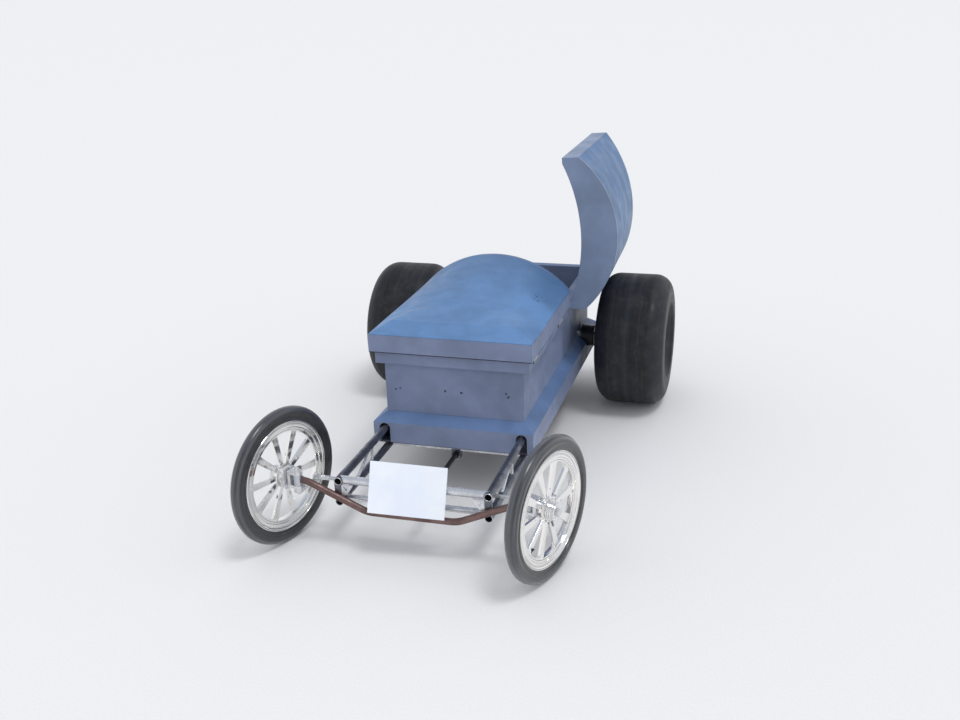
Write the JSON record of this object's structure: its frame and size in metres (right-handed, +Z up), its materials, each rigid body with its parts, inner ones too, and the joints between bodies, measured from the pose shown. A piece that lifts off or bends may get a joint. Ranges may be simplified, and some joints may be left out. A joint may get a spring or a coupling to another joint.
{
  "type": "drag racing car",
  "caption": "Small drag racing car whose body is a casket with two hinged lids, on a tube frame with thin steered front wheels and wide driven rear slicks.",
  "frame": {"origin": "centre of the bounding box on the ground", "axes": "+Z up, +Y towards the tail, +X to the car's left"},
  "size_m": [1.183, 1.838, 1.0195],
  "materials": {
    "primer": "satin",
    "lid_primer": "satin",
    "inside_primer": "satin",
    "rail_steel": "satin",
    "bright_steel": "satin",
    "axle_paint": "satin",
    "light_steel": "satin",
    "chrome": "polished",
    "front_rubber": "satin",
    "rear_rubber": "matte",
    "seat_vinyl": "satin",
    "engine_iron": "matte",
    "hinge_steel": "satin",
    "black_steel": "satin",
    "grip": "matte"
  },
  "bodies": {
    "chassis": {"frame_rails": "rail_steel", "cross_tubes": "bright_steel", "frame_struts": "bright_steel", "front_axle": "axle_paint", "axle_uprights": "rail_steel", "axle_gussets": "bright_steel", "casket_base": "primer", "casket_panels": "primer", "body_flange": "primer", "lid_bridge": "primer", "floor_board": "inside_primer", "cockpit_partition": "inside_primer", "seat_cushion": "seat_vinyl", "seat_back": "seat_vinyl", "engine_block": "engine_iron", "axle_hangers": "rail_steel", "bearing_housings": "black_steel", "body_hinge_leaves": "hinge_steel", "steering_shaft_bearings": "rail_steel", "column_post": "black_steel"},
    "foot_lid": {"foot_lid_rim": "primer", "foot_lid_crown": "lid_primer", "foot_lid_header": "primer", "foot_lid_hinge_leaves": "hinge_steel"},
    "head_lid": {"head_lid_rim": "primer", "head_lid_crown": "lid_primer", "head_lid_header": "primer", "head_lid_hinge_leaves": "hinge_steel"},
    "knuckle_left": {"knuckle_left": "light_steel"},
    "knuckle_right": {"knuckle_right": "light_steel"},
    "front_wheel_left": {"front_tyre_left": "front_rubber", "front_rim_left": "chrome", "front_hub_left": "light_steel"},
    "front_wheel_right": {"front_tyre_right": "front_rubber", "front_rim_right": "chrome", "front_hub_right": "light_steel"},
    "tie_rod": {"tie_rod": "bright_steel"},
    "steering_shaft": {"lower_steering_shaft": "black_steel"},
    "steering_column": {"steering_column": "black_steel", "steering_wheel": "grip"},
    "rear_axle": {"rear_axle": "bright_steel", "sprocket": "bright_steel", "rear_rim_left": "light_steel", "rear_rim_right": "light_steel", "rear_tyre_left": "rear_rubber", "rear_tyre_right": "rear_rubber"}
  },
  "joints": [
    {"name": "foot_lid_hinge", "type": "hinge", "parent": "chassis", "child": "foot_lid", "pos_m": [0.2635, 0.01005, 0.4815], "axis": [0, 1, 0], "range_deg": [0, 87]},
    {"name": "head_lid_hinge", "type": "hinge", "parent": "chassis", "child": "head_lid", "pos_m": [0.2635, 0.59005, 0.4815], "axis": [0, 1, 0], "range_deg": [-87, 0]},
    {"name": "steering_wheel_turn", "type": "hinge", "parent": "chassis", "child": "steering_column", "pos_m": [0, -0.09995, 0.13], "axis": [0, 0.8936, 0.4488], "range_deg": [-53.6, 13.5]},
    {"name": "lower_shaft_turn", "type": "hinge", "parent": "chassis", "child": "steering_shaft", "pos_m": [0, -0.58995, 0.13], "axis": [0, 1, 0], "range_deg": [-53.7, 13.6]},
    {"name": "knuckle_left_steer", "type": "hinge", "parent": "chassis", "child": "knuckle_left", "pos_m": [0.358, -0.69595, 0.215], "axis": [0, 0, 1], "range_deg": [-11.3, 44.7]},
    {"name": "knuckle_right_steer", "type": "hinge", "parent": "chassis", "child": "knuckle_right", "pos_m": [-0.358, -0.69595, 0.215], "axis": [0, 0, 1], "range_deg": [-11.3, 44.7]},
    {"name": "tie_rod_pivot", "type": "hinge", "parent": "knuckle_left", "child": "tie_rod", "pos_m": [0.38099, -0.61933, 0.1885], "axis": [0, 0, 1], "range_deg": [-44.7, 11.3]},
    {"name": "front_wheel_left_spin", "type": "hinge", "parent": "knuckle_left", "child": "front_wheel_left", "pos_m": [0.41269, -0.71236, 0.215], "axis": [0.9578, -0.2874, 0], "continuous": true},
    {"name": "front_wheel_right_spin", "type": "hinge", "parent": "knuckle_right", "child": "front_wheel_right", "pos_m": [-0.41269, -0.67954, 0.215], "axis": [0.9578, -0.2874, 0], "continuous": true},
    {"name": "rear_axle_spin", "type": "hinge", "parent": "chassis", "child": "rear_axle", "pos_m": [0, 0.66505, 0.254], "axis": [1, 0, 0], "continuous": true}
  ],
  "couplings": [
    {"joint": "lower_shaft_turn", "follows": "steering_wheel_turn", "ratio": 1},
    {"joint": "knuckle_left_steer", "follows": "steering_wheel_turn", "ratio": -0.83333},
    {"joint": "knuckle_right_steer", "follows": "steering_wheel_turn", "ratio": -0.83333},
    {"joint": "tie_rod_pivot", "follows": "steering_wheel_turn", "ratio": 0.83333}
  ]
}
